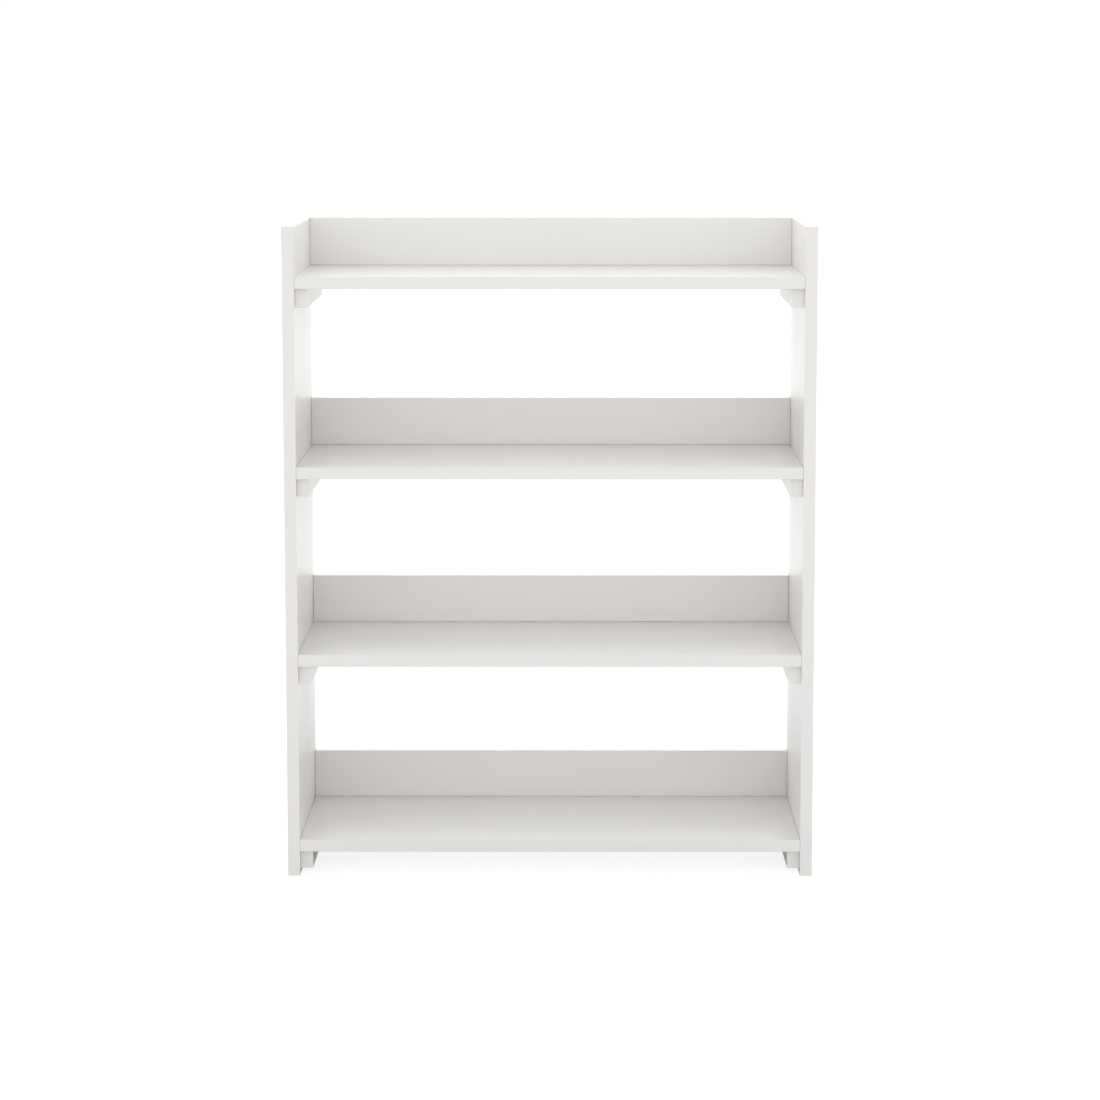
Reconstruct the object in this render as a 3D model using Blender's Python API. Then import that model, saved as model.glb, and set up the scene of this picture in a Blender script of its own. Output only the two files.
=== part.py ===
"""A doll's house bookcase in painted board: two side panels, four shelves, and a rail standing on the
back of each shelf. Each end of a shelf rests on a short block at the front and a longer cleat behind
it. Dowels hold the rails, and pins hold the blocks, the cleats and the shelves.

Metres, +Z up. The origin is on the floor, under the middle of the bookcase. The open front faces -Y,
so left is -X and right is +X.
"""

import math

import bmesh
import bpy
from mathutils import Matrix, Vector

# The bookcase
BOARD = 0.003  # thickness of every panel, shelf and rail
WIDTH = 0.130  # over both side panels
DEPTH = 0.052  # front edge to back edge of a side panel
LEVELS = ("bottom", "lower", "upper", "top")
BOTTOM_SHELF_TOP = 0.0091  # from the floor to the top face of the lowest shelf
SHELF_PITCH = 0.0465  # from one shelf's top face to the next
RAIL_ABOVE_SHELF = 0.0122  # how far each rail stands above its shelf
EASED_EDGE = 0.00025  # round-over on every sawn edge
EASED_STEPS = 2

# The blocks and the cleats under each end of a shelf
SUPPORT_WIDTH = 0.003
SUPPORT_HEIGHT = 0.0045
BLOCK_SETBACK = 0.002  # from the panels' front edges to the block
BLOCK_LENGTH = 0.0069
BLOCK_TO_CLEAT = 0.0003
CLEAT_SETBACK = 0.004  # from the cleat to the panels' back edges

# The glue lines and the drilled holes
JOINT_GAP = 0.0001
HOLE_GAP = 0.00005
ROUND_SIDES = 16

# The pins: flat-headed, driven flush
PIN_RADIUS = 0.0004
PIN_HEAD_RADIUS = 0.0007
PIN_HEAD_DEPTH = 0.0003
PIN_POINT = 0.0006
PIN_BITE = 0.0019  # how far a pin goes into the panel or the shelf

# The dowels
DOWEL_RADIUS = 0.00075
DOWEL_CHAMFER = 0.0002
DOWEL_IN_PANEL = 0.0018
DOWEL_IN_RAIL = 0.0050

# Worked out from the values above
INNER_FACE = WIDTH / 2 - BOARD
FRONT = -DEPTH / 2
BACK = DEPTH / 2
HEIGHT = BOTTOM_SHELF_TOP + (len(LEVELS) - 1) * SHELF_PITCH + RAIL_ABOVE_SHELF
SIDES = {"left": -1, "right": 1}
BLOCK_FRONT = FRONT + BLOCK_SETBACK
BLOCK_BACK = BLOCK_FRONT + BLOCK_LENGTH
CLEAT_FRONT = BLOCK_BACK + BLOCK_TO_CLEAT
CLEAT_BACK = BACK - CLEAT_SETBACK
CLEAT_LENGTH = CLEAT_BACK - CLEAT_FRONT
SUPPORTS = {"front_block": (BLOCK_FRONT, BLOCK_BACK), "cleat": (CLEAT_FRONT, CLEAT_BACK)}
PANEL_PINS = {"front_block": (BLOCK_FRONT + BLOCK_BACK) / 2, "cleat": CLEAT_FRONT + CLEAT_LENGTH / 3}
SHELF_PIN = CLEAT_BACK - CLEAT_LENGTH / 3


def clear_scene():
    for thing in list(bpy.data.objects):
        bpy.data.objects.remove(thing)


def material(name, colour, roughness, metallic=0.0):
    made = bpy.data.materials.new(name)
    made.use_nodes = True
    shader = made.node_tree.nodes["Principled BSDF"]
    shader.inputs["Base Color"].default_value = (*colour, 1.0)
    shader.inputs["Roughness"].default_value = roughness
    shader.inputs["Metallic"].default_value = metallic
    return made


def shelf_top(level):
    return BOTTOM_SHELF_TOP + LEVELS.index(level) * SHELF_PITCH


def add_object(name, mesh, finish, place):
    made = bpy.data.objects.new(name, mesh)
    made.data.materials.append(finish)
    made.matrix_world = place
    bpy.context.scene.collection.objects.link(made)
    return made


def box(name, size):
    """A square-edged mesh centred on its origin."""
    shape = bmesh.new()
    bmesh.ops.create_cube(shape, size=1.0)
    bmesh.ops.scale(shape, vec=size, verts=shape.verts)
    mesh = bpy.data.meshes.new(name)
    shape.to_mesh(mesh)
    shape.free()
    return mesh


def board(name, low, high, finish):
    """A rectangular piece between two corners, with its edges eased."""
    low, high = Vector(low), Vector(high)
    made = add_object(name, box(name, high - low), finish, Matrix.Translation((low + high) / 2))
    ease = made.modifiers.new("eased edges", "BEVEL")
    ease.width = EASED_EDGE
    ease.segments = EASED_STEPS
    return made


def turned(name, profile):
    """A mesh turned about Z from (radius, height) points, which run from axis to axis, upwards."""
    shape = bmesh.new()
    points = [shape.verts.new((radius, 0.0, height)) for radius, height in profile]
    edges = [shape.edges.new(pair) for pair in zip(points, points[1:])]
    bmesh.ops.spin(
        shape,
        geom=points + edges,
        cent=(0.0, 0.0, 0.0),
        axis=(0.0, 0.0, 1.0),
        angle=2 * math.pi,
        steps=ROUND_SIDES,
        use_merge=True,
    )
    bmesh.ops.remove_doubles(shape, verts=shape.verts, dist=1e-7)
    bmesh.ops.recalc_face_normals(shape, faces=shape.faces)
    mesh = bpy.data.meshes.new(name)
    shape.to_mesh(mesh)
    shape.free()
    mesh.shade_smooth()
    mesh.set_sharp_from_angle(angle=math.radians(30))
    return mesh


def pin_profile(length):
    """A pin with its head's flat top at height 0 and its point at -length."""
    return (
        (0.0, -length),
        (PIN_RADIUS / 2, -length + PIN_POINT / 3),
        (PIN_RADIUS, -length + PIN_POINT),
        (PIN_RADIUS, -PIN_HEAD_DEPTH),
        (PIN_HEAD_RADIUS, -PIN_HEAD_DEPTH / 3),
        (PIN_HEAD_RADIUS, 0.0),
        (0.0, 0.0),
    )


def pin_hole_profile(length):
    """The pin's hole and countersink, running past the surface that the head is flush with."""
    bore = PIN_RADIUS + HOLE_GAP
    sink = PIN_HEAD_RADIUS + HOLE_GAP
    return (
        (0.0, -length - HOLE_GAP),
        (bore, -length - HOLE_GAP),
        (bore, -PIN_HEAD_DEPTH - HOLE_GAP),
        (sink, -PIN_HEAD_DEPTH / 3 - HOLE_GAP),
        (sink, BOARD),
        (0.0, BOARD),
    )


def dowel_profile(length):
    """A dowel with both ends chamfered, centred on height 0."""
    half = length / 2
    return (
        (0.0, -half),
        (DOWEL_RADIUS - DOWEL_CHAMFER, -half),
        (DOWEL_RADIUS, -half + DOWEL_CHAMFER),
        (DOWEL_RADIUS, half - DOWEL_CHAMFER),
        (DOWEL_RADIUS - DOWEL_CHAMFER, half),
        (0.0, half),
    )


def dowel_hole_profile(length):
    half = length / 2 + HOLE_GAP
    bore = DOWEL_RADIUS + HOLE_GAP
    return ((0.0, -half), (bore, -half), (bore, half), (0.0, half))


def drill(target, cutters):
    """Cuts a board's holes and seats with one Boolean: cutters is a list of (mesh, place)."""
    shape = bmesh.new()
    for mesh, place in cutters:
        first = len(shape.verts)
        shape.from_mesh(mesh)
        shape.verts.ensure_lookup_table()
        bmesh.ops.transform(shape, matrix=place, verts=shape.verts[first:])
    mesh = bpy.data.meshes.new("cut_from_" + target.name)
    shape.to_mesh(mesh)
    shape.free()
    helper = bpy.data.objects.new(mesh.name, mesh)
    helper.display_type = "WIRE"
    helper.hide_render = True
    bpy.context.scene.collection.objects.link(helper)
    cut = target.modifiers.new("holes and seats", "BOOLEAN")
    cut.operation = "DIFFERENCE"
    cut.object = helper


def side_panels(finish):
    made = {}
    for side, sign in SIDES.items():
        across = sorted((sign * INNER_FACE, sign * WIDTH / 2))
        low = (across[0], FRONT, 0.0)
        high = (across[1], BACK, HEIGHT)
        made[side] = board("side_panel_" + side, low, high, finish)
    return made


def shelves(finish):
    reach = INNER_FACE - JOINT_GAP
    made = {}
    for level in LEVELS:
        top = shelf_top(level)
        low = (-reach, FRONT, top - BOARD)
        high = (reach, BACK, top)
        made[level] = board("shelf_" + level, low, high, finish)
    return made


def rails(finish):
    """Each rail's foot is level with its shelf's top, and its back is flush with the side panels'."""
    reach = INNER_FACE - JOINT_GAP
    made = {}
    for level in LEVELS:
        top = shelf_top(level)
        low = (-reach, BACK - BOARD, top)
        high = (reach, BACK, top + RAIL_ABOVE_SHELF)
        made[level] = board("rail_" + level, low, high, finish)
    return made


def supports(finish):
    """The blocks and the cleats, keyed by (kind, level, side)."""
    made = {}
    for level in LEVELS:
        top = shelf_top(level) - BOARD - JOINT_GAP
        for side, sign in SIDES.items():
            outer = sign * (INNER_FACE - JOINT_GAP)
            across = sorted((outer, outer - sign * SUPPORT_WIDTH))
            for kind, (front, back) in SUPPORTS.items():
                low = (across[0], front, top - SUPPORT_HEIGHT)
                high = (across[1], back, top)
                made[kind, level, side] = board(f"{kind}_{level}_{side}", low, high, finish)
    return made


def rail_seats(holes):
    """A seat planed along the back of each shelf, one glue line deep, for its rail to stand on."""
    seat = box("rail_seat", (WIDTH, 2 * (BOARD + JOINT_GAP), 2 * JOINT_GAP))
    for level in LEVELS:
        place = Matrix.Translation((0.0, BACK, shelf_top(level)))
        holes.setdefault(("shelf", level), []).append((seat, place))


def panel_pins(finish, holes):
    """One pin through each block and each cleat into its side panel."""
    length = SUPPORT_WIDTH + JOINT_GAP + PIN_BITE
    pin = turned("panel_pin", pin_profile(length))
    hole = turned("panel_pin_hole", pin_hole_profile(length))
    for level in LEVELS:
        middle = shelf_top(level) - BOARD - JOINT_GAP - SUPPORT_HEIGHT / 2
        for side, sign in SIDES.items():
            face = sign * (INNER_FACE - JOINT_GAP - SUPPORT_WIDTH)
            for kind, along in PANEL_PINS.items():
                place = Matrix.Translation((face, along, middle))
                place @= Matrix.Rotation(-sign * math.pi / 2, 4, "Y")
                add_object(f"{kind}_pin_{level}_{side}", pin, finish, place)
                holes.setdefault((kind, level, side), []).append((hole, place))
                holes.setdefault(("panel", side), []).append((hole, place))


def shelf_pins(finish, holes):
    """One pin up through each cleat into its shelf."""
    length = SUPPORT_HEIGHT + JOINT_GAP + PIN_BITE
    pin = turned("shelf_pin", pin_profile(length))
    hole = turned("shelf_pin_hole", pin_hole_profile(length))
    for level in LEVELS:
        underside = shelf_top(level) - BOARD - JOINT_GAP - SUPPORT_HEIGHT
        for side, sign in SIDES.items():
            across = sign * (INNER_FACE - JOINT_GAP - SUPPORT_WIDTH / 2)
            place = Matrix.Translation((across, SHELF_PIN, underside))
            place @= Matrix.Rotation(math.pi, 4, "Y")
            add_object(f"shelf_pin_{level}_{side}", pin, finish, place)
            holes.setdefault(("cleat", level, side), []).append((hole, place))
            holes.setdefault(("shelf", level), []).append((hole, place))


def rail_dowels(finish, holes):
    """One dowel joins each end of a rail to the side panel."""
    length = DOWEL_IN_PANEL + JOINT_GAP + DOWEL_IN_RAIL
    dowel = turned("rail_dowel", dowel_profile(length))
    hole = turned("rail_dowel_hole", dowel_hole_profile(length))
    centre = INNER_FACE + DOWEL_IN_PANEL - length / 2
    for level in LEVELS:
        middle = shelf_top(level) + RAIL_ABOVE_SHELF / 2
        for side, sign in SIDES.items():
            place = Matrix.Translation((sign * centre, BACK - BOARD / 2, middle))
            place @= Matrix.Rotation(math.pi / 2, 4, "Y")
            add_object(f"rail_dowel_{level}_{side}", dowel, finish, place)
            holes.setdefault(("rail", level), []).append((hole, place))
            holes.setdefault(("panel", side), []).append((hole, place))


def main():
    clear_scene()
    paint = material("white_paint", (0.80, 0.79, 0.77), 0.42)
    steel = material("pin_steel", (0.56, 0.57, 0.58), 0.35, metallic=1.0)
    beech = material("beech", (0.60, 0.42, 0.26), 0.65)

    boards = {("panel", side): made for side, made in side_panels(paint).items()}
    boards |= {("shelf", level): made for level, made in shelves(paint).items()}
    boards |= {("rail", level): made for level, made in rails(paint).items()}
    boards |= supports(paint)

    holes = {}
    rail_seats(holes)
    panel_pins(steel, holes)
    shelf_pins(steel, holes)
    rail_dowels(beech, holes)
    for which, cutters in holes.items():
        drill(boards[which], cutters)


main()
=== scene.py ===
# %% [markdown]
# # A white bookcase for a doll's house
#
# The bookcase is two side panels, four shelves and four low rails, all cut from board 3 mm thick and
# sprayed with satin white paint. Each end of a shelf rests on a short block at the front and a longer
# cleat behind it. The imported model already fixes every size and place, so nothing here is measured by
# eye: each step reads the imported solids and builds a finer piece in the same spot, with smooth edges and
# a finish of its own.

import math

import bmesh
import bpy
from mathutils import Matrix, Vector


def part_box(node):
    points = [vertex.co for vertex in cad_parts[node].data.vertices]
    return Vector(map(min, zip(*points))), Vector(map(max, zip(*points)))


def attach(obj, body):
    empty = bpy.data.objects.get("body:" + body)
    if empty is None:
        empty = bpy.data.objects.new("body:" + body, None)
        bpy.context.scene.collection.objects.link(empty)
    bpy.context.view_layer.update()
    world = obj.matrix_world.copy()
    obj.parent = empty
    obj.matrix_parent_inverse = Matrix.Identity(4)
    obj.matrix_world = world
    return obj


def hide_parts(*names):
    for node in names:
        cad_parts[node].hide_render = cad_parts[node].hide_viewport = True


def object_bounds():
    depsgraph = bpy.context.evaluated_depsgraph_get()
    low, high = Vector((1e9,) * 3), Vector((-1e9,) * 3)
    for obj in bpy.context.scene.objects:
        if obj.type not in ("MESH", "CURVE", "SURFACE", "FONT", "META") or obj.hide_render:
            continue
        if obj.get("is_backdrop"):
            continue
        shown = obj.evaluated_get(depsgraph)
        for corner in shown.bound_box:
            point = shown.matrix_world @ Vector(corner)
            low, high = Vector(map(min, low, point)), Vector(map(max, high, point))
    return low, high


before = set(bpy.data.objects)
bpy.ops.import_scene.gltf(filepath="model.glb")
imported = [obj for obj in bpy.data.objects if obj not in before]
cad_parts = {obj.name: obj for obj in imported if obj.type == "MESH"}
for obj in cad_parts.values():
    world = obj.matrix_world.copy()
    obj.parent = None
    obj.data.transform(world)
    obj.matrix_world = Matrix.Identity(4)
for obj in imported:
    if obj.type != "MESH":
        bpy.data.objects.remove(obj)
cad_low, cad_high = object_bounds()
print("packed pieces:", len(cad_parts), "size in mm:", [round(1000 * x, 1) for x in cad_high - cad_low])

# %% [markdown]
# ## The camera
#
# Small furniture is pictured from a little above the top shelf, with a long lens, so that the boards
# hardly narrow towards the back. The camera stands just right of centre, looks down a few degrees and
# has a small vertical shift, which keeps the side panels close to upright.

# %% Place the camera
MM = 0.001
CAMERA_RIGHT = 5.2 * MM
CAMERA_AWAY = 782.2 * MM  # in front of the shelves' front edges
CAMERA_ABOVE_TOP = 36.3 * MM
LOOKS_DOWN = 7.22  # degrees
LOOKS_LEFT = 0.12
LENS = 105.6
SHIFT_ACROSS = -0.013
SHIFT_UP = -0.060

camera = bpy.data.objects.new("camera", bpy.data.cameras.new("camera"))
bpy.context.scene.collection.objects.link(camera)
camera.location = (CAMERA_RIGHT, cad_low.y - CAMERA_AWAY, cad_high.z + CAMERA_ABOVE_TOP)
camera.rotation_euler = (math.radians(90 - LOOKS_DOWN), 0, math.radians(LOOKS_LEFT))
camera.data.sensor_width = 36
camera.data.lens = LENS
camera.data.shift_x = SHIFT_ACROSS
camera.data.shift_y = SHIFT_UP
camera.data.clip_start = 0.01
bpy.context.scene.camera = camera
print("camera at", [round(x, 4) for x in camera.location])

# %% [markdown]
# ## Building trees of nodes
#
# Shapes and finishes are both written as node trees. One short helper adds a node, sets its options and
# fills its sockets, with either a plain value or a link from an earlier socket. Two more do sums on
# numbers and on vectors, so that a formula reads from the inside out.


# %% Helpers that write nodes
def put(tree, kind, sockets=None, **options):
    """Adds a node. Its sockets are given by name or number, as values or as links."""
    node = tree.nodes.new(kind)
    for name, value in options.items():
        setattr(node, name, value)
    for key, value in (sockets or {}).items():
        if isinstance(value, bpy.types.NodeSocket):
            tree.links.new(value, node.inputs[key])
        else:
            node.inputs[key].default_value = value
    return node


def sums(tree, operation, *values):
    return put(tree, "ShaderNodeMath", dict(enumerate(values)), operation=operation).outputs[0]


def vectors(tree, operation, *values):
    return put(tree, "ShaderNodeVectorMath", dict(enumerate(values)), operation=operation).outputs[0]


def scaled(tree, vector, by):
    node = put(tree, "ShaderNodeVectorMath", {"Vector": vector, "Scale": by}, operation="SCALE")
    return node.outputs[0]


def add_sockets(tree, direction, **kinds):
    """Names a tree's inputs or outputs, in order. An underscore in a name stands for a space."""
    for name, kind in kinds.items():
        tree.interface.new_socket(name.replace("_", " "), in_out=direction, socket_type="NodeSocket" + kind)


# %% [markdown]
# ## One rule for every board
#
# Panels, shelves, rails, blocks and cleats are all the same thing: a sawn board whose edges have been
# rounded over with sandpaper. A Bevel modifier would do, but its corners depend on the mesh it is given.
# Here the shape follows a rule instead. A cube is cut into a grid, and every grid point is sent to its
# place on a box with round edges: a straight part, plus a point on a ball where edges and corners meet.
# One more ring of points just inside the rounding keeps the flat faces flat when the board is shaded
# smooth.


# %% The board's shape
def make_board_tree():
    tree = bpy.data.node_groups.new("rounded board", "GeometryNodeTree")
    tree.is_modifier = True
    add_sockets(
        tree, "INPUT", Low_corner="Vector", High_corner="Vector", Round_over="Float", Steps="Int",
        Board_number="Float", Holes="Object", Paint="Material",
    )
    add_sockets(tree, "OUTPUT", Geometry="Geometry")
    given = tree.nodes.new("NodeGroupInput").outputs

    # A grid whose lines are numbered outwards: 0 lies on the flat, and the last on the box's outside.
    lines = sums(tree, "MULTIPLY_ADD", given["Steps"], 2, 4)
    gaps = sums(tree, "SUBTRACT", lines, 1)
    counts = {"Vertices X": lines, "Vertices Y": lines, "Vertices Z": lines}
    grid = put(tree, "GeometryNodeMeshCube", {"Size": (1, 1, 1), **counts}).outputs["Mesh"]
    place = tree.nodes.new("GeometryNodeInputPosition").outputs[0]
    side = vectors(tree, "SIGN", place)
    number = vectors(tree, "SUBTRACT", scaled(tree, vectors(tree, "ABSOLUTE", place), gaps), (0.5, 0.5, 0.5))

    # How far round the edge each point lies along each axis: 0 on the flat, 1 on the outside.
    one_step = sums(tree, "DIVIDE", 1, given["Steps"])
    turned = scaled(tree, vectors(tree, "SUBTRACT", number, (1, 1, 1)), one_step)
    turned = vectors(tree, "MAXIMUM", turned, (0, 0, 0))
    angle = scaled(tree, turned, math.pi / 4)
    outward = vectors(tree, "MULTIPLY", side, vectors(tree, "TANGENT", angle))
    outward = vectors(tree, "NORMALIZE", outward)

    # The straight part, with the innermost ring drawn in by half the rounding.
    half = scaled(tree, vectors(tree, "SUBTRACT", given["High corner"], given["Low corner"]), 0.5)
    middle = scaled(tree, vectors(tree, "ADD", given["High corner"], given["Low corner"]), 0.5)
    rounding = scaled(tree, (1, 1, 1), given["Round over"])
    straight = vectors(tree, "SUBTRACT", half, rounding)
    innermost = vectors(tree, "SUBTRACT", (1, 1, 1), vectors(tree, "MINIMUM", number, (1, 1, 1)))
    drawn_in = scaled(tree, innermost, sums(tree, "MULTIPLY", given["Round over"], 0.5))
    straight = vectors(tree, "MULTIPLY", side, vectors(tree, "SUBTRACT", straight, drawn_in))

    point = vectors(tree, "ADD", straight, scaled(tree, outward, given["Round over"]))
    point = vectors(tree, "ADD", point, middle)
    shape = put(tree, "GeometryNodeSetPosition", {"Geometry": grid, "Position": point}).outputs[0]
    return tree, given, shape, outward


# %% [markdown]
# ## What every board gets last
#
# The same tree goes on to store two numbers on every point: how far round an edge it lies, and which board
# it belongs to. The paint reads both later. It then drills the holes for pins and dowels with a Mesh
# Boolean node, set to exact, which copes with many cutters at once. Last come the shading, which is smooth
# round an edge and sharp at a hole's rim, and the paint.

# %% The board's holes and shading
SHARP_FROM = math.radians(30)  # an edge that turns more than this is shaded sharp


def finish_board_tree(tree, given, shape, outward):
    """Stores what the paint reads, drills the holes and shades the board."""
    away = put(tree, "ShaderNodeSeparateXYZ", {0: vectors(tree, "ABSOLUTE", outward)}).outputs
    flattest = sums(tree, "MAXIMUM", sums(tree, "MAXIMUM", away[0], away[1]), away[2])
    mid_edge = math.sqrt(0.5)  # what the largest part falls to in the middle of an edge
    ramp = {"Value": flattest, "From Min": 1, "From Max": mid_edge}
    edge = put(tree, "ShaderNodeMapRange", ramp).outputs[0]
    for name, value in (("edge", edge), ("board", given["Board number"])):
        store = {"Geometry": shape, "Name": name, "Value": value}
        shape = put(tree, "GeometryNodeStoreNamedAttribute", store, domain="POINT").outputs[0]

    cutters = put(tree, "GeometryNodeObjectInfo", {"Object": given["Holes"]}).outputs["Geometry"]
    drilled = put(tree, "GeometryNodeMeshBoolean", operation="DIFFERENCE", solver="EXACT")
    tree.links.new(shape, drilled.inputs["Mesh 1"])
    tree.links.new(cutters, drilled.inputs["Mesh 2"])

    sharp = put(tree, "GeometryNodeInputMeshEdgeAngle").outputs["Unsigned Angle"]
    soft = put(tree, "FunctionNodeCompare", {0: sharp, 1: SHARP_FROM}, operation="LESS_THAN")
    smooth = put(tree, "GeometryNodeSetShadeSmooth", {"Geometry": drilled.outputs["Mesh"]}, domain="FACE")
    smooth = put(
        tree, "GeometryNodeSetShadeSmooth",
        {"Geometry": smooth.outputs[0], "Shade Smooth": soft.outputs[0]}, domain="EDGE",
    )
    whole = put(tree, "GeometryNodeRealizeInstances", {"Geometry": smooth.outputs[0]}).outputs[0]
    painted = put(tree, "GeometryNodeSetMaterial", {"Geometry": whole, "Material": given["Paint"]})
    put(tree, "NodeGroupOutput", {0: painted.outputs[0]})
    return tree


board_tree = finish_board_tree(*make_board_tree())
print("board tree:", len(board_tree.nodes), "nodes")

# %% [markdown]
# ## Running a tree and keeping the result
#
# A node tree is only a recipe. This helper gives it its inputs, lets Blender work it out once and keeps
# what comes out as an ordinary mesh. Inputs are set by socket identifier, since names can repeat.


# %% Helper that runs a tree
def grown(name, tree, start=None, **inputs):
    """Runs a Geometry Nodes tree on a mesh, and keeps the result as a plain object at the origin."""
    made = bpy.data.objects.new(name, start or bpy.data.meshes.new(name + "_start"))
    bpy.context.scene.collection.objects.link(made)
    recipe = made.modifiers.new(tree.name, "NODES")
    recipe.node_group = tree
    sockets = {item.name: item.identifier for item in tree.interface.items_tree if item.in_out == "INPUT"}
    for label, value in inputs.items():
        recipe[sockets[label.replace("_", " ")]] = value
    worked_out = bpy.context.evaluated_depsgraph_get()
    mesh = bpy.data.meshes.new_from_object(
        made.evaluated_get(worked_out), preserve_all_data_layers=True, depsgraph=worked_out
    )
    made.modifiers.remove(recipe)
    made.data = mesh
    mesh.name = name
    if len(mesh.materials) > 1 and mesh.materials[0] is None:
        mesh.materials.pop(index=0)
    return made


# %% [markdown]
# ## Satin white paint
#
# Sprayed paint on fine board looks flat from across a room, but it is never quite even. Four things show
# up close: a faint drift of tone across each board, patches a touch duller or shinier, a very low stipple
# where the drops flowed together, and edges where the paint pulled thin and dried smoother. The first
# three are noise with spans in millimetres, so their scale is right on a long panel and on a short block,
# and the board number moves them, so that no two boards match. The edges come from the stored number.

# %% The paint group
TONE_SPAN = 30 * MM  # across one patch of lighter or darker paint
SHEEN_SPAN = 8 * MM  # across one patch of duller or shinier paint
SHEEN_DRIFT = 0.02
STIPPLE_SPAN = 0.7 * MM
STIPPLE_HEIGHT = 0.006 * MM
SHINIER_EDGE = 0.06  # how much lower the roughness is in the middle of an edge
SMOOTHER_EDGE = 0.7  # how much of the stipple is gone there


def spread(tree, value, low, high):
    """Takes a noise value, which mostly lies between 0.3 and 0.7, to the range asked for."""
    sockets = {"Value": value, "From Min": 0.3, "From Max": 0.7, "To Min": low, "To Max": high}
    return put(tree, "ShaderNodeMapRange", sockets).outputs[0]


def noise(tree, place, span, detail, offset=None):
    """Noise whose patches are about the given span across. The offset gives a different pattern."""
    sockets = {"Vector": place, "Scale": 1 / span, "Detail": detail}
    if offset is None:
        return put(tree, "ShaderNodeTexNoise", sockets).outputs["Fac"]
    return put(tree, "ShaderNodeTexNoise", {**sockets, "W": offset}, noise_dimensions="4D").outputs["Fac"]


def make_paint_group():
    tree = bpy.data.node_groups.new("satin paint", "ShaderNodeTree")
    add_sockets(tree, "INPUT", Colour="Color", Tone_drift="Float", Sheen="Float")
    add_sockets(tree, "OUTPUT", Color="Color", Roughness="Float", Height="Float")
    given = tree.nodes.new("NodeGroupInput").outputs
    place = tree.nodes.new("ShaderNodeTexCoord").outputs["Object"]
    edge = put(tree, "ShaderNodeAttribute", attribute_name="edge").outputs["Fac"]
    board = put(tree, "ShaderNodeAttribute", attribute_name="board").outputs["Fac"]

    drift = spread(tree, noise(tree, place, TONE_SPAN, 3, board), -1, 1)
    tone = sums(tree, "MULTIPLY_ADD", drift, given["Tone drift"], 1)
    colour = scaled(tree, given["Colour"], tone)

    stipple = noise(tree, place, STIPPLE_SPAN, 2, board)
    patchy = spread(tree, noise(tree, place, SHEEN_SPAN, 2, board), -SHEEN_DRIFT, SHEEN_DRIFT)
    pulled_thin = sums(tree, "MULTIPLY_ADD", edge, -SHINIER_EDGE, given["Sheen"])
    roughness = sums(tree, "ADD", pulled_thin, patchy)
    flowed = sums(tree, "MULTIPLY_ADD", edge, -SMOOTHER_EDGE, 1)
    height = sums(tree, "MULTIPLY", stipple, flowed)
    put(tree, "NodeGroupOutput", {0: colour, 1: roughness, 2: height})
    return tree


paint_group = make_paint_group()
print("paint group:", len(paint_group.nodes), "nodes")

# %% [markdown]
# ## From a group to a material
#
# A group gives only colour, roughness and height. The shader that makes a surface of them stays in the
# material, where values that never change are set on its own sockets. One helper builds every material
# this way. All the boards are the same white, but panels, shelves, rails and cleats each have a sheen of
# their own, as if they were sprayed one kind at a time.


# %% Mix the paints
def finish(name, group, height, sockets, **fixed):
    """A material whose colour, roughness and bump come from a group. Other shader values are fixed."""
    made = bpy.data.materials.new(name)
    made.use_nodes = True
    tree = made.node_tree
    shader = tree.nodes["Principled BSDF"]
    effect = put(tree, "ShaderNodeGroup", node_tree=group)
    for label, value in sockets.items():
        effect.inputs[label].default_value = value
    raised = {"Strength": 1, "Distance": height, "Height": effect.outputs["Height"]}
    bump = put(tree, "ShaderNodeBump", raised)
    tree.links.new(effect.outputs["Color"], shader.inputs["Base Color"])
    tree.links.new(effect.outputs["Roughness"], shader.inputs["Roughness"])
    tree.links.new(bump.outputs[0], shader.inputs["Normal"])
    for label, value in fixed.items():
        shader.inputs[label.replace("_", " ")].default_value = value
    return made


WARM_WHITE = (0.830, 0.818, 0.801, 1)


def paint(name, tone_drift, sheen):
    values = {"Colour": WARM_WHITE, "Tone drift": tone_drift, "Sheen": sheen}
    return finish(name, paint_group, STIPPLE_HEIGHT, values)


panel_paint = paint("panel_paint", tone_drift=0.010, sheen=0.36)
shelf_paint = paint("shelf_paint", tone_drift=0.012, sheen=0.38)
rail_paint = paint("rail_paint", tone_drift=0.010, sheen=0.40)
cleat_paint = paint("cleat_paint", tone_drift=0.015, sheen=0.42)
print("paints:", [made.name for made in (panel_paint, shelf_paint, rail_paint, cleat_paint)])

# %% [markdown]
# ## Steel and beech
#
# The pins are steel wire with pressed heads: bright metal, a little cloudy, with very fine marks from the
# die. The dowels are beech, which is pale and even, with short flecks along the grain. The dowels are
# hidden inside the rails and panels, but they still get their own finish.

# %% The steel and beech groups
CLOUD_SPAN = 0.5 * MM
DIE_MARK_SPAN = 0.06 * MM
DIE_MARK_HEIGHT = 0.002 * MM
GRAIN_SPAN = 0.25 * MM
FLECK_SPAN = 0.08 * MM
GRAIN_HEIGHT = 0.01 * MM
ALONG_GRAIN = (0.15, 1, 1)  # the dowels' grain runs across the bookcase, and is long that way


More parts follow.
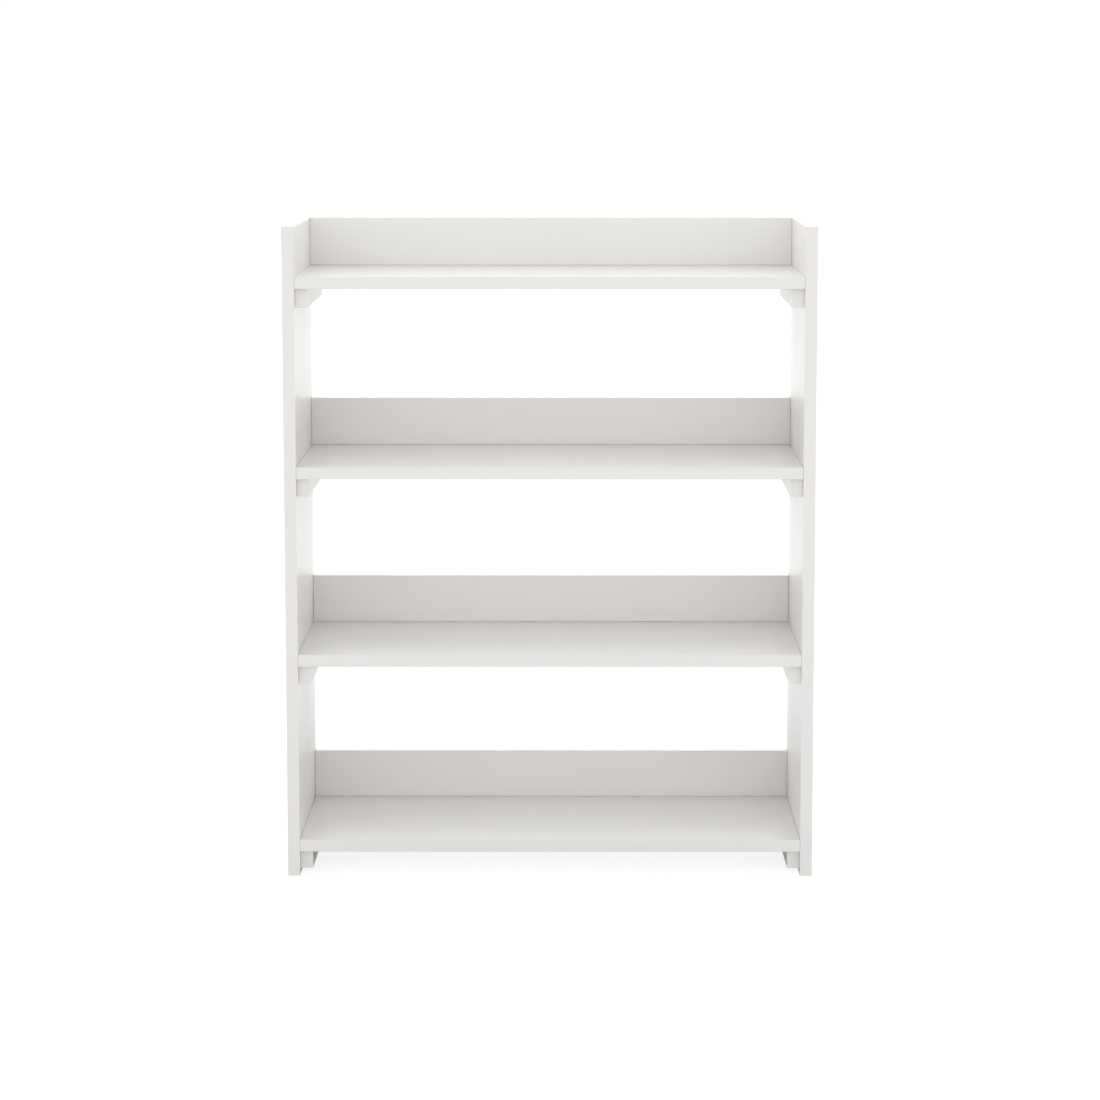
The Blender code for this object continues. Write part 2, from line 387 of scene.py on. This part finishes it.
def make_steel_group():
    tree = bpy.data.node_groups.new("drawn steel", "ShaderNodeTree")
    add_sockets(tree, "INPUT", Colour="Color", Polish="Float")
    add_sockets(tree, "OUTPUT", Color="Color", Roughness="Float", Height="Float")
    given = tree.nodes.new("NodeGroupInput").outputs
    place = tree.nodes.new("ShaderNodeTexCoord").outputs["Object"]
    cloudy = noise(tree, place, CLOUD_SPAN, 3)
    colour = scaled(tree, given["Colour"], spread(tree, cloudy, 0.9, 1.1))
    marks = noise(tree, place, DIE_MARK_SPAN, 2)
    roughness = sums(tree, "ADD", given["Polish"], spread(tree, marks, -0.08, 0.08))
    put(tree, "NodeGroupOutput", {0: colour, 1: roughness, 2: marks})
    return tree


def make_beech_group():
    tree = bpy.data.node_groups.new("beech grain", "ShaderNodeTree")
    add_sockets(tree, "INPUT", Pale="Color", Dark="Color")
    add_sockets(tree, "OUTPUT", Color="Color", Roughness="Float", Height="Float")
    given = tree.nodes.new("NodeGroupInput").outputs
    place = tree.nodes.new("ShaderNodeTexCoord").outputs["Object"]
    along = vectors(tree, "MULTIPLY", place, ALONG_GRAIN)
    grain = noise(tree, along, GRAIN_SPAN, 4)
    flecks = noise(tree, along, FLECK_SPAN, 1)
    share = sums(tree, "MULTIPLY", spread(tree, grain, 0, 1), spread(tree, flecks, 0.6, 1))
    mixed = put(tree, "ShaderNodeMix", data_type="RGBA")
    for source, socket in ((share, 0), (given["Pale"], 6), (given["Dark"], 7)):
        tree.links.new(source, mixed.inputs[socket])
    roughness = spread(tree, flecks, 0.58, 0.72)
    put(tree, "NodeGroupOutput", {0: mixed.outputs[2], 1: roughness, 2: grain})
    return tree


STEEL = {"Colour": (0.56, 0.57, 0.58, 1), "Polish": 0.30}
BEECH = {"Pale": (0.66, 0.47, 0.30, 1), "Dark": (0.46, 0.29, 0.16, 1)}
pin_steel = finish("bright_steel", make_steel_group(), DIE_MARK_HEIGHT, STEEL, Metallic=1)
beech = finish("beech_dowel", make_beech_group(), GRAIN_HEIGHT, BEECH)
print("other finishes:", pin_steel.name, beech.name)

# %% [markdown]
# ## Pins and dowels
#
# Twenty-four pins and eight dowels repeat all over the bookcase. Each is turned once as a single shape.
# A point is put where each one starts, carrying the direction it was driven in, and a node tree stands a
# copy on every point. The same tree, given a slightly fatter shape, makes the drilled holes.


# %% The tree that drives pins
def make_driven_tree():
    tree = bpy.data.node_groups.new("driven pieces", "GeometryNodeTree")
    tree.is_modifier = True
    add_sockets(tree, "INPUT", Starts="Geometry", Shape="Object", Finish="Material")
    add_sockets(tree, "OUTPUT", Geometry="Geometry")
    given = tree.nodes.new("NodeGroupInput").outputs
    aim = put(tree, "GeometryNodeInputNamedAttribute", {"Name": "direction"}, data_type="FLOAT_VECTOR")
    turn = put(tree, "FunctionNodeAlignRotationToVector", {"Vector": aim.outputs[0]}, axis="Z")
    shape = put(tree, "GeometryNodeObjectInfo", {"Object": given["Shape"]}).outputs["Geometry"]
    copies = put(
        tree, "GeometryNodeInstanceOnPoints",
        {"Points": given["Starts"], "Instance": shape, "Rotation": turn.outputs[0]},
    )
    whole = put(tree, "GeometryNodeRealizeInstances", {"Geometry": copies.outputs[0]}).outputs[0]
    made = put(tree, "GeometryNodeSetMaterial", {"Geometry": whole, "Material": given["Finish"]})
    put(tree, "NodeGroupOutput", {0: made.outputs[0]})
    return tree


driven_tree = make_driven_tree()
print("driven tree:", len(driven_tree.nodes), "nodes")

# %% [markdown]
# ## Turning the shapes
#
# Pins and dowels are round, so half an outline is enough: it is turned about its axis, as on a lathe. Each
# outline starts and ends on the axis, and every point between becomes a ring. Blender's spin tool makes the
# same shape, but its faces come in a different order each time, so the rings are joined here by number. The
# holes are turned the same way, a hair larger. A pin's hole starts outside the board, so that it cuts
# cleanly through the face.

# %% Helpers that turn a shape
ROUND_SIDES = 24
HOLE_GAP = 0.05 * MM
RIM = 0.10 * MM  # from the head's flat top to the widest part's lower edge
RIM_EASE = 0.03 * MM
FLAT_SHARE = 0.93  # how much of the head's radius is flat on top
HEAD_DEPTH = 0.30 * MM
POINT_SHOULDER = 0.60 * MM  # from the tip to where the point begins to narrow
POINT_HALFWAY = 0.20 * MM  # from the tip to where the point is half as wide as the pin
DOWEL_CHAMFER = 0.20 * MM


def turned(name, profile):
    """Turns (radius, height) points about Z. The first and the last lie on the axis."""
    turns = [2 * math.pi * i / ROUND_SIDES for i in range(ROUND_SIDES)]
    points = [(r * math.cos(a), r * math.sin(a), z) for r, z in profile[1:-1] for a in turns]
    bottom, top = len(points), len(points) + 1
    last_ring = bottom - ROUND_SIDES
    faces = []
    for this in range(ROUND_SIDES):
        after = (this + 1) % ROUND_SIDES
        faces.append((bottom, after, this))
        for ring in range(0, last_ring, ROUND_SIDES):
            above = ring + ROUND_SIDES
            faces.append((ring + this, ring + after, above + after, above + this))
        faces.append((last_ring + this, last_ring + after, top))
    mesh = bpy.data.meshes.new(name)
    mesh.from_pydata(points + [(0, 0, profile[0][1]), (0, 0, profile[-1][1])], [], faces)
    mesh.shade_smooth()
    mesh.set_sharp_from_angle(angle=SHARP_FROM)
    made = bpy.data.objects.new(name, mesh)
    bpy.context.scene.collection.objects.link(made)
    made.hide_render = True
    return made


def pin_profile(radius, head, length):
    """A pin driven upwards from its flat head at height 0."""
    return (
        (0, 0), (FLAT_SHARE * head, 0), (head, RIM_EASE), (head, RIM), (radius, HEAD_DEPTH),
        (radius, length - POINT_SHOULDER), (radius / 2, length - POINT_HALFWAY), (0, length),
    )


def pin_hole_profile(radius, head, length):
    """The pin's hole and countersink, which start well outside the board."""
    bore, sink, deep = radius + HOLE_GAP, head + HOLE_GAP, length + HOLE_GAP
    rim, neck = RIM + HOLE_GAP, HEAD_DEPTH + HOLE_GAP
    return ((0, -MM), (sink, -MM), (sink, rim), (bore, neck), (bore, deep), (0, deep))


def dowel_profile(radius, length):
    inner, shoulder = radius - DOWEL_CHAMFER, length - DOWEL_CHAMFER
    return ((0, 0), (inner, 0), (radius, DOWEL_CHAMFER), (radius, shoulder), (inner, length), (0, length))


def dowel_hole_profile(radius, length):
    bore, deep = radius + HOLE_GAP, length + HOLE_GAP
    return ((0, -HOLE_GAP), (bore, -HOLE_GAP), (bore, deep), (0, deep))


# %% [markdown]
# ## Driving them in
#
# The box round each packed pin says all that is needed. Its longest side is the way the pin was driven,
# and pins in the side panels point outwards. One mesh with a point for each start carries the directions,
# and the tree above does the rest. All the holes end up in one object, which drills every board.


# %% Helpers that find where each one starts
def driven(node):
    """Where a pin or dowel starts, which way it was driven, how long it is and half its width."""
    low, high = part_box(node)
    size = high - low
    axis = max(range(3), key=lambda i: size[i])
    start = (low + high) / 2
    direction = Vector((0, 0, 0))
    direction[axis] = 1 if axis == 2 or start[axis] > 0 else -1
    start -= direction * size[axis] / 2
    return start, direction, size[axis], min(size) / 2


def starts(name, nodes):
    """A mesh with one point for each node, carrying the direction."""
    found = [driven(node) for node in nodes]
    mesh = bpy.data.meshes.new(name)
    mesh.from_pydata([place for place, _, _, _ in found], [], [])
    directions = mesh.attributes.new("direction", "FLOAT_VECTOR", "POINT")
    for slot, (_, direction, _, _) in zip(directions.data, found):
        slot.vector = direction
    return mesh, found[0][2], found[0][3]


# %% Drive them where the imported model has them
PIN_RADIUS = 0.4 * MM
nodes_of = {
    "panel_pins": sorted(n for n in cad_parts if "_pin_" in n and not n.startswith("shelf_pin")),
    "shelf_pins": sorted(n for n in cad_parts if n.startswith("shelf_pin")),
    "rail_dowels": sorted(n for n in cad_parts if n.startswith("rail_dowel")),
}
fasteners = {}
drills = bmesh.new()
for name, nodes in nodes_of.items():
    points, length, widest = starts(name + "_starts", nodes)
    if name == "rail_dowels":
        look = beech
        profile = dowel_profile(widest, length)
        hole = dowel_hole_profile(widest, length)
    else:
        look = pin_steel
        profile = pin_profile(PIN_RADIUS, widest, length)
        hole = pin_hole_profile(PIN_RADIUS, widest, length)
    shape, drill = turned(name + "_shape", profile), turned(name + "_drill", hole)
    fasteners[name] = grown(name, driven_tree, points, Shape=shape, Finish=look)
    bored = grown(name + "_holes", driven_tree, points, Shape=drill, Finish=look)
    drills.from_mesh(bored.data)
    for helper in (shape, drill, bored):
        bpy.data.objects.remove(helper)
    faces = len(fasteners[name].data.polygons)
    print(name, len(nodes), "of length", round(length / MM, 2), "mm,", faces, "faces")

holes = bpy.data.objects.new("drilled_holes", bpy.data.meshes.new("drilled_holes"))
drills.to_mesh(holes.data)
drills.free()
bpy.context.scene.collection.objects.link(holes)
print("faces on all the drills:", len(holes.data.polygons))

# %% [markdown]
# ## Cut the boards
#
# Now the one board recipe makes all twenty-six boards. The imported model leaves 0.1 mm at every glue line,
# so that its solids stay apart. Glue and paint fill most of that on the real bookcase, so here a board
# reaches a little further wherever it is glued to its neighbour: shelves and rails at their ends, and
# blocks and cleats at the outer side and the top. Each packed rail stands in a seat one glue line deep.
# Here its foot is lifted a hair above the shelf's face instead, which leaves the same fine dark line.

# %% Make every board
BOARDS = {  # for each kind: round-over, steps in it, reach into a glue line, paint
    "side_panel": (0.08 * MM, 5, 0, panel_paint),
    "shelf": (0.14 * MM, 5, 0.07 * MM, shelf_paint),
    "rail": (0.10 * MM, 5, 0.06 * MM, rail_paint),
    "front_block": (0.06 * MM, 4, 0.09 * MM, cleat_paint),
    "cleat": (0.06 * MM, 4, 0.09 * MM, cleat_paint),
}
RAIL_LIFT = 0.03 * MM
fastened = {node for nodes in nodes_of.values() for node in nodes}


def glued_corners(node, kind, reach):
    """A board's lowest and highest corners, reaching into its glue lines."""
    low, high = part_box(node)
    if kind in ("shelf", "rail"):
        low.x -= reach
        high.x += reach
    if kind == "rail":
        low.z += RAIL_LIFT
    if kind in ("front_block", "cleat"):
        outer = high if high.x > 0 else low
        outer.x += math.copysign(reach, outer.x)
        high.z += reach
    return low, high


boards = {}
for number, node in enumerate(sorted(set(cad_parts) - fastened)):
    kind = next(kind for kind in BOARDS if node.startswith(kind))
    round_over, steps, reach, look = BOARDS[kind]
    low, high = glued_corners(node, kind, reach)
    boards[node] = grown(
        node + "_board", board_tree, Low_corner=tuple(low), High_corner=tuple(high),
        Round_over=round_over, Steps=steps, Board_number=float(number), Holes=holes, Paint=look,
    )
bpy.data.objects.remove(holes)
faces = sum(len(board.data.polygons) for board in boards.values())
print("boards:", len(boards), "faces in all:", faces)

# %% [markdown]
# ## Handing the pieces over
#
# Nothing on this bookcase moves, so there is one body.

# %% Hand the pieces over
for node, board in boards.items():
    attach(board, "root")
    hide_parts(node)
for name, piece in fasteners.items():
    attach(piece, "root")
    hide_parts(*nodes_of[name])
print("pieces handed over:", len(boards) + len(fasteners))

# %% [markdown]
# ## The floor
#
# The floor is one plain, pale, dull sheet. It looks brighter to the camera than it lights, which is a
# choice and not physics: a floor that lit as brightly as it looks would make the undersides of the
# shelves glow. Reflections see a bright floor, except close to the bookcase, where it is in shade.

# %% Lay the floor
FLOOR_REAL = 0.50  # how much light the floor throws back
FLOOR_SHOWN = 0.74  # how much brighter it looks to the camera
FLOOR_GLOSS = 1.09  # how much brighter it looks in a reflection
FLOOR_GLOW = 0.25  # how much brighter it looks to a dull surface
SHADE_ENDS = (90 * MM, 220 * MM)  # how far out the reflected floor starts and stops brightening
FLOOR_REACH = 3.0  # metres each way
FLOOR_DROP = 0.02 * MM  # keeps the floor just below the panels' feet
FLOOR_TONE_SPAN = 200 * MM


def make_floor():
    mesh = bpy.data.meshes.new("floor")
    corners = ((-1, -1), (1, -1), (1, 1), (-1, 1))
    points = [(x * FLOOR_REACH, y * FLOOR_REACH, -FLOOR_DROP) for x, y in corners]
    mesh.from_pydata(points, [], [(0, 1, 2, 3)])
    floor = bpy.data.objects.new("floor", mesh)
    bpy.context.scene.collection.objects.link(floor)
    material = bpy.data.materials.new("pale_floor")
    material.use_nodes = True
    tree = material.node_tree
    shader = tree.nodes["Principled BSDF"]
    place = tree.nodes.new("ShaderNodeTexCoord").outputs["Object"]
    tone = spread(tree, noise(tree, place, FLOOR_TONE_SPAN, 2), 0.99, 1.01)
    colour = scaled(tree, (FLOOR_REAL, FLOOR_REAL, FLOOR_REAL), tone)
    tree.links.new(colour, shader.inputs["Base Color"])
    shader.inputs["Roughness"].default_value = 0.9
    shader.inputs["Specular IOR Level"].default_value = 0
    path = tree.nodes.new("ShaderNodeLightPath").outputs
    away = put(tree, "ShaderNodeVectorMath", {0: place}, operation="LENGTH").outputs["Value"]
    ramp = {"Value": away, "From Min": SHADE_ENDS[0], "From Max": SHADE_ENDS[1], "To Max": FLOOR_GLOSS}
    far = put(tree, "ShaderNodeMapRange", ramp).outputs[0]
    shown = sums(tree, "MULTIPLY", path["Is Camera Ray"], FLOOR_SHOWN)
    shown = sums(tree, "MULTIPLY_ADD", path["Is Glossy Ray"], far, shown)
    shown = sums(tree, "MULTIPLY_ADD", path["Is Diffuse Ray"], FLOOR_GLOW, shown)
    shader.inputs["Emission Color"].default_value = (1, 1, 1, 1)
    tree.links.new(shown, shader.inputs["Emission Strength"])
    material.cycles.emission_sampling = "NONE"
    mesh.materials.append(material)
    return floor


make_floor()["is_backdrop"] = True
print("floor:", 2 * FLOOR_REACH, "metres across,", round(FLOOR_DROP / MM, 3), "mm under the panels' feet")

# %% [markdown]
# ## The light
#
# White furniture on a white ground needs soft light, which large white walls would give. A background
# whose brightness depends on direction does the same with no lamp to place. It has a few broad parts: a
# little from above, a low part from the front for the boards' edges, one from each side, and one from
# behind, which skims the insides of the panels. A last part, the shine, also comes from behind, and only
# reflections see it.

# %% Light the air
AIR_SHOWN = 1.05  # what the camera sees
AIR = {  # for each part: its strength, its direction, and how tightly it keeps to that
    "above": (0.30, (0, 0, 1), 1),
    "low front": (1.90, (0, -1, 0), 6),
    "behind": (0.76, (0, 1, 0), 1),
    "left": (1.30, (-1, 0, 0), 1),
    "right": (1.18, (1, 0, 0), 1),
    "shine": (1.26, (0, 1, 0), 1),
}


def make_air():
    """Each part of the light is strongest straight along its direction and fades to nothing beside it."""
    world = bpy.data.worlds.new("studio")
    world.use_nodes = True
    world.cycles.sampling_method = "NONE"
    tree = world.node_tree
    path = tree.nodes.new("ShaderNodeLightPath").outputs
    direction = tree.nodes.new("ShaderNodeTexCoord").outputs["Generated"]
    light = 0
    for part, (strength, axis, focus) in AIR.items():
        facing = put(tree, "ShaderNodeVectorMath", {0: direction, 1: axis}, operation="DOT_PRODUCT")
        share = sums(tree, "POWER", sums(tree, "MAXIMUM", facing.outputs["Value"], 0), focus)
        if part == "shine":
            share = sums(tree, "MULTIPLY", share, path["Is Glossy Ray"])
        light = sums(tree, "MULTIPLY_ADD", share, strength, light)
    seen = {"Value": path["Is Camera Ray"], "To Min": light, "To Max": AIR_SHOWN}
    level = put(tree, "ShaderNodeMapRange", seen).outputs[0]
    tree.links.new(level, tree.nodes["Background"].inputs["Strength"])
    tree.nodes["Background"].inputs["Color"].default_value = (1, 1, 1, 1)
    return world


bpy.context.scene.world = make_air()
bpy.context.scene.view_settings.view_transform = "Standard"
print("strength of each part of the light:", {part: values[0] for part, values in AIR.items()})

# %% [markdown]
# ## The last check
#
# The fine pieces have to fill the same space as the imported ones. The largest difference between the two
# boxes is printed.

# %% Compare sizes and finish
new_low, new_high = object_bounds()
moves = [abs(a - b) for a, b in zip([*cad_low, *cad_high], [*new_low, *new_high])]
print("largest move of the outer box, mm:", max(moves) / MM)
